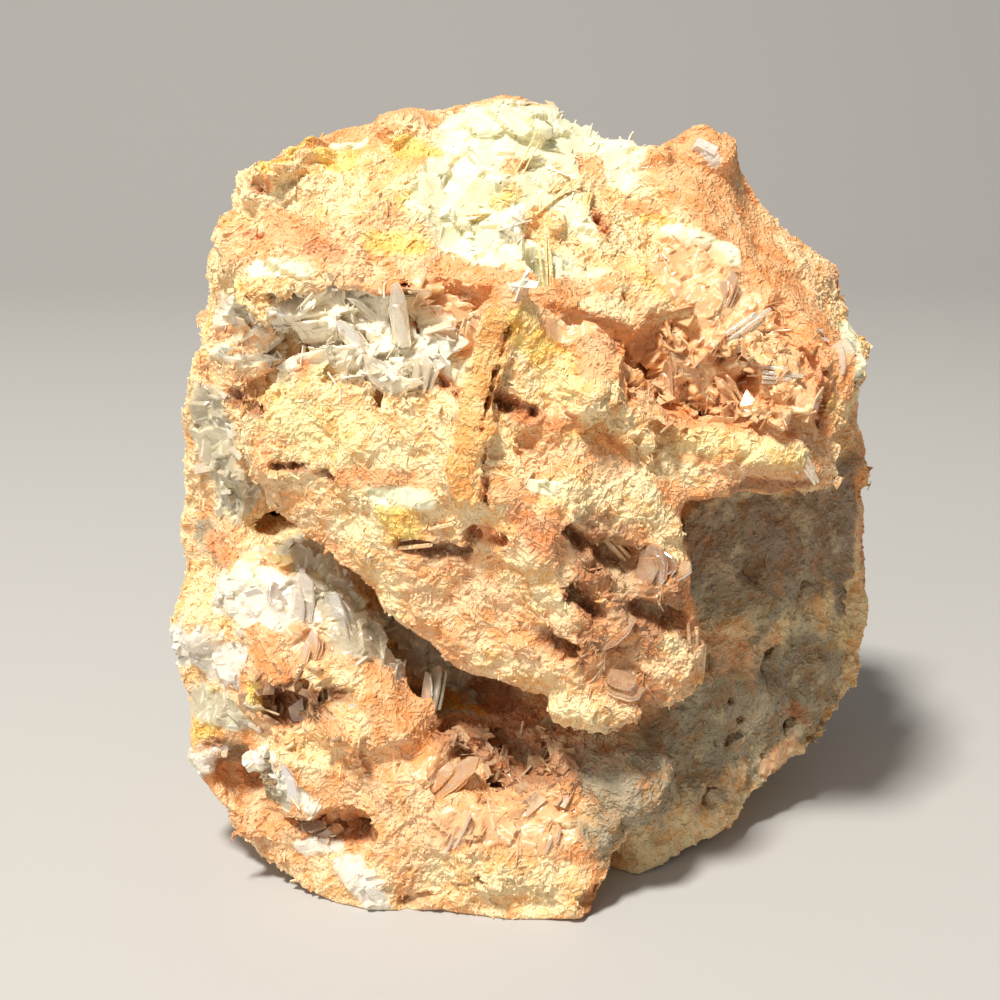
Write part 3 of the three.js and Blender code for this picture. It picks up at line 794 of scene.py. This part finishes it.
def random_sizes(field, kinds):
    """Random sizes within the limits of each blade's kind, most of them small."""
    low, high = growth_rows(field)[kinds].T
    return (low + (high - low) * draw.uniform(0, 1, len(kinds)) ** SMALLNESS) * MM


class Blades(NamedTuple):
    """Many small blades, one row each."""
    corners: np.ndarray
    edge: np.ndarray
    deep: np.ndarray
    kinds: np.ndarray
    feet: np.ndarray


def blade_weight(rock, points, outs, to_camera):
    """How crowded blades are at each point: less so out of the camera's view, in holes and at the floor."""
    facing = UNSEEN_SHARE + (1 - UNSEEN_SHARE) * smooth(0.5 + 3 * (outs * to_camera).sum(1))
    open_air = (1 - HOLE_BARENESS * rock.sunk) * (points[:, 2] > BARE_BELOW * MM)
    return rock.shares @ growth_rows("crowding") * facing * open_air


def picked_kinds(shares):
    """A kind for each blade, drawn by how much of each kind there is at its foot."""
    pick = draw.uniform(0, 1, len(shares)) * shares.sum(1)
    return (shares.cumsum(1) < pick[:, None]).sum(1).clip(0, len(KINDS) - 1)


def blade_directions(feet, ups, to_camera, kinds):
    """Each blade's way up and its way along the rock, which is much like its neighbours'."""
    lean, forward = growth_rows("lean")[kinds], growth_rows("forward")[kinds]
    leaning = lean[:, None] * unit(draw.normal(size=feet.shape)) * draw.uniform(0, 1, (len(feet), 1))
    ways = unit(ups + leaning + forward[:, None] * to_camera)
    sheaf = np.stack([waves(feet, SHEAF_REACH, seed) for seed in SHEAF_SEEDS], 1)
    alongs = unit(np.cross(unit(SHEAF_HOLD * sheaf + unit(draw.normal(size=feet.shape))), ways))
    return ways, alongs


def grown_blades(rock):
    """All the small blades, each of the kind and the colour of the crust around it."""
    points, outs = coordinates(rock.mesh), vertex_normals(rock.mesh)
    to_camera = unit(np.array(CAMERA_PLACE) * MM - points)
    at = sampled_surface(rock.mesh, BLADES_IN_ALL, blade_weight(rock, points, outs, to_camera))
    feet, ups, shares = at(points), unit(at(outs)), at(rock.shares)
    kinds = picked_kinds(shares)
    length, proud, thickness = (random_sizes(field, kinds) for field in ("length", "proud", "thickness"))
    ways, alongs = blade_directions(feet, ups, at(to_camera), kinds)
    corners = plate_points(feet - ways * ROOTED * MM, ways, alongs, length, proud + ROOTED * MM, thickness)
    edge = (EDGE_COLOURS[kinds] + shares @ EDGE_COLOURS) / 2 * draw.normal(1, BLADE_TONE, (len(feet), 1))
    deep = (DEEP_COLOURS[kinds] + shares @ EDGE_COLOURS) / 2
    return Blades(corners, np.clip(edge, 0, 1), deep, kinds, feet)


SIDES = ("front", "right", "back", "left")


def side_of(feet):
    """Which side of the cluster each place is on, as a number in the list of sides."""
    turn = np.degrees(np.arctan2(feet[:, 0], -feet[:, 1])) % 360
    return ((turn + 45) // 90).astype(int) % 4


def of_kinds(blades, names):
    return np.isin(blades.kinds, [KIND_NAMES.index(name) for name in names])


def add_blades(rock, crust, clear, honey):
    """The small blades, joined by what they are made of and the stained ones also by side."""
    blades = grown_blades(rock)
    is_clear, is_honey = of_kinds(blades, CLEAR_KINDS), of_kinds(blades, HONEY_KINDS)
    side = side_of(blades.feet)
    groups = {
        "clear_blades": (is_clear, clear, "clear_barite"),
        "honey_blades": (is_honey, honey, "honey_barite"),
    }
    for number, name in enumerate(SIDES):
        mask = ~is_clear & ~is_honey & (side == number)
        groups[f"{name}_crust_blades"] = (mask, crust, "rusty_barite")
    for name, (mask, material, slot) in groups.items():
        numbers = np.flatnonzero(mask)
        for part, chosen in enumerate(np.array_split(numbers, math.ceil(len(numbers) / BLADE_LIMIT))):
            mesh = plates_mesh(f"{name}_{part}", *(rows[chosen] for rows in blades[:3]))
            piece(f"{name}_{part}", mesh, material, slot)


# Larger crystals

CRYSTAL_OUTLINE = np.array(
    [[-0.4, 0.0], [0.4, 0.0], [0.5, 0.35], [0.45, 0.82], [0.15, 1.0], [-0.3, 0.95], [-0.5, 0.6]]
)
CRYSTAL_UNEVEN = 0.1
CRYSTAL_BEVEL = 0.25  # share of the thickness
CRYSTAL_ROOT = 1.6  # millimetres in the rock
SHEAF = 4  # a crystal and its lesser neighbours
NEIGHBOUR_SHRINK = 0.15
NEIGHBOUR_LEAN = 0.07
NEIGHBOUR_SPACING = 1.7  # in thicknesses
NEIGHBOUR_SHIFT = 0.15  # in widths
SHORTEST = 0.85


def tabular_form(length, width, thickness):
    """A tabular crystal with bevelled rims and an uneven outline, its foot at the origin and its tip up."""
    uneven = draw.uniform(-CRYSTAL_UNEVEN, CRYSTAL_UNEVEN, CRYSTAL_OUTLINE.shape)
    uneven[:2] = 0
    outline = (CRYSTAL_OUTLINE + uneven) * (width, length)
    form = bmesh.new()
    low = [form.verts.new((x, -thickness / 2, z)) for x, z in outline]
    high = [form.verts.new((x, thickness / 2, z)) for x, z in outline]
    form.faces.new(low)
    form.faces.new(high[::-1])
    for i in range(len(outline)):
        j = (i + 1) % len(outline)
        form.faces.new((low[i], high[i], high[j], low[j]))
    bmesh.ops.recalc_face_normals(form, faces=form.faces)
    rim = thickness * CRYSTAL_BEVEL
    bmesh.ops.bevel(form, geom=form.edges[:], offset=rim, segments=1, affect="EDGES", profile=0.5)
    return form


def add_form(form, added, place):
    """Adds a form to another, at a place."""
    bmesh.ops.transform(added, matrix=place, verts=added.verts)
    scrap = bpy.data.meshes.new("scrap")
    added.to_mesh(scrap)
    added.free()
    form.from_mesh(scrap)
    bpy.data.meshes.remove(scrap)


def crystal_ends(tree, crystal):
    """A crystal's foot, sunk in the rock, and its tip, no farther off or nearer than the crystal is long."""
    (foot, out), (tip, _) = seen(tree, crystal.foot), seen(tree, crystal.tip)
    eye = np.array(CAMERA_PLACE) * MM
    near = np.linalg.norm(foot - eye)
    reach = math.dist(crystal.foot, crystal.tip) * pixel_size(foot) / 2
    away = np.clip(np.linalg.norm(tip - eye), near - reach, near + reach) - crystal.stand * MM
    return foot - out * CRYSTAL_ROOT * MM, eye + np.array(sight(crystal.tip)) * away


def crystal_stance(foot, tip, turn):
    """Stands a form on a foot, towards a tip, with its face to the camera and then turned on itself."""
    along = Vector(tip - foot).normalized()
    across = along.cross(Vector(np.array(CAMERA_PLACE) * MM - foot)).normalized()
    stance = Matrix((across, across.cross(along), along)).transposed()
    return Matrix.Translation(foot) @ (stance @ Matrix.Rotation(math.radians(turn), 3, "Z")).to_4x4()


def grow_sheaf(form, tree, crystal):
    """Adds a crystal and its lesser neighbours to a form."""
    foot, tip = crystal_ends(tree, crystal)
    stance = crystal_stance(foot, tip, crystal.turn)
    length, width, thickness = np.linalg.norm(tip - foot), crystal.width * MM, crystal.thickness * MM
    for number in range(SHEAF):
        size = 1 - NEIGHBOUR_SHRINK * number
        leaning = Euler(number * draw.uniform(-NEIGHBOUR_LEAN, NEIGHBOUR_LEAN, 3)).to_matrix().to_4x4()
        aside = number * draw.uniform(-NEIGHBOUR_SHIFT, NEIGHBOUR_SHIFT) * width
        beside = (-1) ** number * math.ceil(number / 2) * NEIGHBOUR_SPACING * thickness
        grown = tabular_form(length * size * draw.uniform(SHORTEST, 1), width * size, thickness)
        add_form(form, grown, stance @ Matrix.Translation((aside, beside, 0)) @ leaning)


def add_crystals(tree, clear, honey, crust):
    """The larger crystals, joined by what they are made of."""
    groups = (
        ("large_clear_crystals", CLEAR_KINDS, clear, "clear_barite"),
        ("large_honey_crystals", ("honey", "golden", "amber"), honey, "honey_barite"),
        ("large_stained_blades", ("peach", "lemon"), crust, "rusty_barite"),
    )
    for name, kinds, material, slot in groups:
        form = bmesh.new()
        tints = []
        for crystal in CRYSTALS.values():
            if crystal.kind in kinds:
                before = len(form.verts)
                grow_sheaf(form, tree, crystal)
                tints += [EDGE_COLOURS[KIND_NAMES.index(crystal.kind)]] * (len(form.verts) - before)
        mesh = bpy.data.meshes.new(name)
        form.to_mesh(mesh)
        form.free()
        move_vertices(mesh, coordinates(mesh))
        add_colours(mesh, "stain_and_shade", np.array(tints))
        add_shares(mesh, "standing", np.full(len(tints), CRYSTAL_STANDING))
        piece(name, mesh, material, slot)


# Pocket crusts

# Each pocket's kind and number of blades
POCKETS = {
    "left_pocket_crystals": ("ivory", 30),
    "right_pocket_crystals": ("honey", 60),
    "shoulder_pocket_crystals": ("umber", 40),
    "recess_crystals": ("umber", 50),
}
POCKET_RIM = 1.5  # millimetres around a node's own crystals
POCKET_LEAN = 0.8
POCKET_BLADE_SIZES = ((1.2, 1.2, 0.15), (3.8, 2.1, 0.35))  # least and most length, height and thickness


def pocket_blades(node, mesh, count):
    """The corners of the blades that line a pocket, rooted in the rock around the node's own crystals."""
    low, high = (np.array(corner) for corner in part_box(node))
    points = coordinates(mesh)
    inside = ((points > low - POCKET_RIM * MM) & (points < high + POCKET_RIM * MM)).all(1)
    at = sampled_surface(mesh, count, inside.astype(float))
    feet, ups = at(points), unit(at(vertex_normals(mesh)))
    ways = unit(ups + POCKET_LEAN * unit(draw.normal(size=(count, 3))))
    alongs = unit(np.cross(unit(draw.normal(size=(count, 3))), ways))
    sizes = draw.uniform(*POCKET_BLADE_SIZES, (count, 3)) * MM
    return plate_points(feet - ways * MM, ways, alongs, *sizes.T)


def add_pockets(mesh, clear, honey):
    """The blades that line the four pockets."""
    for node, (kind, count) in POCKETS.items():
        number = KIND_NAMES.index(kind)
        corners = pocket_blades(node, mesh, count)
        edge = np.repeat(EDGE_COLOURS[number][None], count, 0)
        deep = np.repeat(DEEP_COLOURS[number][None], count, 0)
        blades = plates_mesh(node + "_blades", corners, edge, deep)
        material, slot = (clear, "clear_barite") if kind in CLEAR_KINDS else (honey, "honey_barite")
        crust = piece(node + "_crust", blades, material, slot)
        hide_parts(node)


# Materials

class Socket:
    """A value in a material: Python's operators on it add Math nodes."""

    def __init__(self, recipe, out):
        self.recipe = recipe
        self.out = out

    def math(self, operation, *values):
        return self.recipe.node("ShaderNodeMath", {"operation": operation}, dict(enumerate(values)))

    def __add__(self, other):
        return self.math("ADD", self, other)

    def __mul__(self, other):
        return self.math("MULTIPLY", self, other)

    def __sub__(self, other):
        return self.math("SUBTRACT", self, other)

    def __rsub__(self, other):
        return self.math("SUBTRACT", other, self)

    __radd__ = __add__
    __rmul__ = __mul__

    def most(self, other):
        return self.math("MAXIMUM", self, other)

    def within(self, low, high):
        """0 below low, 1 above high, and a smooth rise between."""
        settings = {"interpolation_type": "SMOOTHSTEP"}
        return self.recipe.node("ShaderNodeMapRange", settings, {0: self, 1: low, 2: high})


class Recipe:
    """A material's nodes."""

    def __init__(self, name):
        self.material = bpy.data.materials.new(name)
        self.material.use_nodes = True
        self.tree = self.material.node_tree
        self.tree.nodes.remove(self.tree.nodes["Principled BSDF"])

    def feed(self, socket, value):
        if isinstance(value, Socket):
            self.tree.links.new(value.out, socket)
        else:
            socket.default_value = value

    def node(self, kind, settings=(), inputs=(), out=0):
        made = self.tree.nodes.new(kind)
        for name, value in dict(settings).items():
            setattr(made, name, value)
        for key, value in dict(inputs).items():
            self.feed(made.inputs[key], value)
        if isinstance(out, tuple):
            return [Socket(self, made.outputs[name]) for name in out]
        return Socket(self, made.outputs[out])

    def attribute(self, name, out="Fac"):
        return self.node("ShaderNodeAttribute", {"attribute_name": name}, out=out)

    def noise(self, reach, detail=3, out=0):
        """Noise with bumps of the given reach, in millimetres, fixed to the object."""
        place = self.node("ShaderNodeTexCoord", out="Object")
        settings = {"Vector": place, "Scale": 1 / (2 * reach * MM), "Detail": detail, "Roughness": 0.6}
        return self.node("ShaderNodeTexNoise", inputs=settings, out=out)

    def vector(self, operation, *values, out=0):
        return self.node("ShaderNodeVectorMath", {"operation": operation}, dict(enumerate(values)), out)

    def blade_net(self, spacing, half_thickness):
        """A blade on edge in each cell of a Voronoi pattern, and each cell as a face tilted its own way."""
        place = self.node("ShaderNodeTexCoord", out="Object")
        cells = {"Vector": place, "Scale": 1 / (spacing * MM)}
        outs = ("Distance", "Position", "Color")
        reach, middle, chance = self.node("ShaderNodeTexVoronoi", inputs=cells, out=outs)
        way = self.vector("NORMALIZE", self.vector("SUBTRACT", chance, (0.5, 0.5, 0.5)))
        offset = self.vector("DOT_PRODUCT", self.vector("SUBTRACT", place, middle), way, out="Value")
        across = offset.math("ABSOLUTE", offset) * (1 / (half_thickness * MM))
        blade = (1 - across.within(0.5, 1.5)) * (1 - reach.within(0.45, 0.75))
        return blade, offset * (1 / (spacing * MM))

    def blend(self, share, first, second, mode="MIX"):
        settings = {"data_type": "RGBA", "blend_type": mode}
        return self.node("ShaderNodeMix", settings, {0: share, 6: first, 7: second}, out=2)

    def bump(self, height, strength, reach):
        inputs = {"Height": height, "Strength": strength, "Distance": reach * MM}
        return self.node("ShaderNodeBump", inputs=inputs)

    def principled(self, **inputs):
        named = {name.replace("_", " "): value for name, value in inputs.items()}
        return self.node("ShaderNodeBsdfPrincipled", inputs=named)

    def finish(self, shader):
        self.feed(self.tree.nodes["Material Output"].inputs["Surface"], shader)
        return self.material


# The crust's and the crystals' look, lengths in millimetres
WIDE_NET, NARROW_NET = (2.0, 0.14), (1.1, 0.1)  # spacing and half thickness of the blades
MOTTLE_REACH, GRAIN_REACH, PATCH_REACH = 1.6, 0.22, 2.6
CLOUD_REACH, STREAK_REACH = 1.5, 0.5
# The gap colour makes the crust redder and darker between the blades: oxide, and painted shade
GAP_RUST_AND_SHADE, RUSTY_PATCH, CREAMY_PATCH, MILK = "f6d4b0", "dd9258", "fbe4b0", "f6f0c6"
MILK_DEPTH = 1.2
BARITE_IOR = 1.636


# Each crystal material's colour of the clouds in it, and how much light it lets through
CRYSTAL_LOOKS = {
    "clear_barite": ("f8f6e4", 0.15),
    "honey_barite": ("f6d9a8", 0.2),
    "large_clear_barite": ("f0ebdc", 0.65),
    "large_honey_barite": ("f8dfb4", 0.65),
}


def shade(code):
    return (*linear(code), 1)


def dry_colour(recipe, net, mottle, grain):
    """The stain on what stands high, and in the gaps a redder oxide colour darkened as painted shade, with
    rusty and creamy patches.
    """
    stain_and_shade, standing = recipe.attribute("stain_and_shade", "Color"), recipe.attribute("standing")
    high = (net * 0.5 + standing * 0.5 + mottle.within(0.38, 0.6) * 0.6 + grain * 0.5 - 0.5).within(0.0, 0.7)
    gap_rust_and_shade = recipe.blend(1.0, stain_and_shade, shade(GAP_RUST_AND_SHADE), "MULTIPLY")
    patches = recipe.noise(PATCH_REACH)
    rusty = patches.within(0.56, 0.69) * (1 - high * 0.7) * 0.5
    creamy = (1 - patches).within(0.54, 0.67) * 0.35
    colour = recipe.blend(rusty, recipe.blend(high, gap_rust_and_shade, stain_and_shade), shade(RUSTY_PATCH))
    return recipe.blend(creamy, colour, shade(CREAMY_PATCH))


def milky_crystal(recipe, wide, tilt, mottle):
    """Milky crystal in flat tilted faces."""
    cloud = wide * 0.6 + mottle.within(0.5, 0.7) * 0.3
    return recipe.principled(
        Base_Color=recipe.blend(cloud, recipe.attribute("stain_and_shade", "Color"), shade(MILK)),
        Roughness=0.2 + 0.2 * mottle,
        IOR=BARITE_IOR,
        Subsurface_Weight=0.5,
        Subsurface_Radius=(1.0, 0.95, 0.75),
        Subsurface_Scale=MILK_DEPTH * MM,
        Normal=recipe.bump(tilt * 2.0 + wide * 0.4 + mottle, 0.4, 0.4),
    )


def crust_material():
    """Dry stained crust, a net of fine blade edges, that passes into milky crystal."""
    recipe = Recipe("stained_crust")
    wide, tilt = recipe.blade_net(*WIDE_NET)
    narrow, small_tilt = recipe.blade_net(*NARROW_NET)
    net = wide.most(narrow)
    mottle, grain = recipe.noise(MOTTLE_REACH), recipe.noise(GRAIN_REACH, 1)
    dry = recipe.principled(
        Base_Color=dry_colour(recipe, net, mottle, grain),
        Roughness=0.6 + 0.25 * mottle,
        Specular_IOR_Level=0.4,
        Normal=recipe.bump(net + grain * 2.2 + small_tilt * 0.5, 0.8, 0.2),
    )
    milky = milky_crystal(recipe, wide, tilt, mottle)
    share = (recipe.attribute("milky") + 0.5 * mottle - 0.25).within(0.3, 0.7)
    return recipe.finish(recipe.node("ShaderNodeMixShader", inputs={0: share, 1: dry, 2: milky}))


def crystal_material(name, cloud_colour, transmission):
    """See-through barite with pale streaks in it and a silky sheen on its faces."""
    recipe = Recipe(name)
    cloud, streak = recipe.noise(CLOUD_REACH, 2), recipe.noise(STREAK_REACH, 2)
    pale = cloud.within(0.42, 0.66) * 0.5 + streak.within(0.5, 0.7) * 0.4
    return recipe.finish(recipe.principled(
        Base_Color=recipe.blend(pale, recipe.attribute("stain_and_shade", "Color"), shade(cloud_colour)),
        Roughness=0.1 + 0.3 * cloud,
        IOR=BARITE_IOR,
        Transmission_Weight=transmission,
        Normal=recipe.bump(cloud + streak * 0.7, 0.4, 0.3),
    ))


# The stage

def aimed_light(name, way, away, size, power, colour):
    light = bpy.data.lights.new(name, "AREA")
    light.size = size
    light.energy = power
    light.color = colour
    stand = bpy.data.objects.new(name, light)
    place = Vector(way).normalized() * away + Vector(AIMED_AT)
    stand.matrix_world = Matrix.Translation(place) @ Vector(way).to_track_quat("Z", "Y").to_matrix().to_4x4()
    bpy.context.collection.objects.link(stand)


def add_stage():
    recipe = Recipe("pale_floor")
    roughness = FLOOR_ROUGHNESS + FLOOR_UNEVENNESS * recipe.noise(FLOOR_GRAIN)
    recipe.finish(recipe.principled(Base_Color=shade(FLOOR_COLOUR), Roughness=roughness))
    bend = [(SWEEP_AT + SWEEP_RADIUS * math.sin(t), SWEEP_RADIUS * (1 - math.cos(t)))
            for t in np.radians(np.arange(0, 91, 5))]
    profile = [(-FLOOR_SIDE / 2, 0)] + bend + [(SWEEP_AT + SWEEP_RADIUS, FLOOR_SIDE / 2)]
    corners = [(x, y, z) for y, z in profile for x in (-FLOOR_SIDE / 2, FLOOR_SIDE / 2)]
    mesh = bpy.data.meshes.new("floor")
    faces = [(i, i + 1, i + 3, i + 2) for i in range(0, len(corners) - 2, 2)]
    mesh.from_pydata(corners, [], faces)
    mesh.polygons.foreach_set("use_smooth", [True] * len(mesh.polygons))
    mesh.materials.append(recipe.material)
    floor = bpy.data.objects.new("floor", mesh)
    bpy.context.collection.objects.link(floor)
    floor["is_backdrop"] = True


def add_lights():
    aimed_light("key", KEY_FROM, KEY_AWAY, KEY_SIZE, KEY_POWER, KEY_COLOUR)
    aimed_light("fill", FILL_FROM, FILL_AWAY, FILL_SIZE, FILL_POWER, FILL_COLOUR)
    world = bpy.data.worlds.new("studio")
    world.use_nodes = True
    sky = world.node_tree.nodes["Background"].inputs
    sky["Color"].default_value = SKY_COLOUR
    sky["Strength"].default_value = SKY_LIGHT
    bpy.context.scene.world = world
    bpy.context.scene.view_settings.view_transform = "Standard"
    bpy.context.scene.view_settings.gamma = GAMMA


def cut(form, place, way):
    """Cuts away what lies against a direction from a place in a closed form, and closes it again."""
    everything = form.verts[:] + form.edges[:] + form.faces[:]
    made = bmesh.ops.bisect_plane(form, geom=everything, plane_co=place, plane_no=way, clear_inner=True)
    rim = [part for part in made["geom_cut"] if isinstance(part, bmesh.types.BMEdge)]
    bmesh.ops.edgeloop_fill(form, edges=rim)


def add_rock(rock, crust):
    """The rock in four quarters, which meet inside it."""
    mesh = rock.mesh
    # Painted shade: the crust's colour is darkened in holes, where it also counts as lying low between the
    # blades
    lit = 1 - HOLE_SHADE * rock.sunk
    ground = (1 - DEEP_SHARE) * EDGE_COLOURS + DEEP_SHARE * DEEP_COLOURS
    add_colours(mesh, "stain_and_shade", rock.shares @ ground * lit[:, None])
    add_shares(mesh, "standing", ROCK_STANDING * (1 - rock.sunk))
    add_shares(mesh, "milky", rock.shares @ MILKINESS)
    for name, across, along in QUARTERS:
        form = bmesh.new()
        form.from_mesh(mesh)
        cut(form, (QUARTERED_AT[0] * MM, 0, 0), (across, 0, 0))
        cut(form, (0, QUARTERED_AT[1] * MM, 0), (0, along, 0))
        quarter = bpy.data.meshes.new(name)
        form.to_mesh(quarter)
        form.free()
        thing = piece(name, quarter, crust, "rusty_barite")
        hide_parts("cluster")


def main():
    add_camera()
    add_lights()
    add_stage()
    crust = crust_material()
    looks = CRYSTAL_LOOKS.items()
    clear, honey, large_clear, large_honey = (crystal_material(name, *look) for name, look in looks)
    rock = grown_rock()
    tree = surface_tree(rock.mesh)
    add_blades(rock, crust, clear, honey)
    add_crystals(tree, large_clear, large_honey, crust)
    add_pockets(rock.mesh, clear, honey)
    add_rock(rock, crust)


main()
[[list(map(float, corner)) for corner in box] for box in (CAD_BOX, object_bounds())]
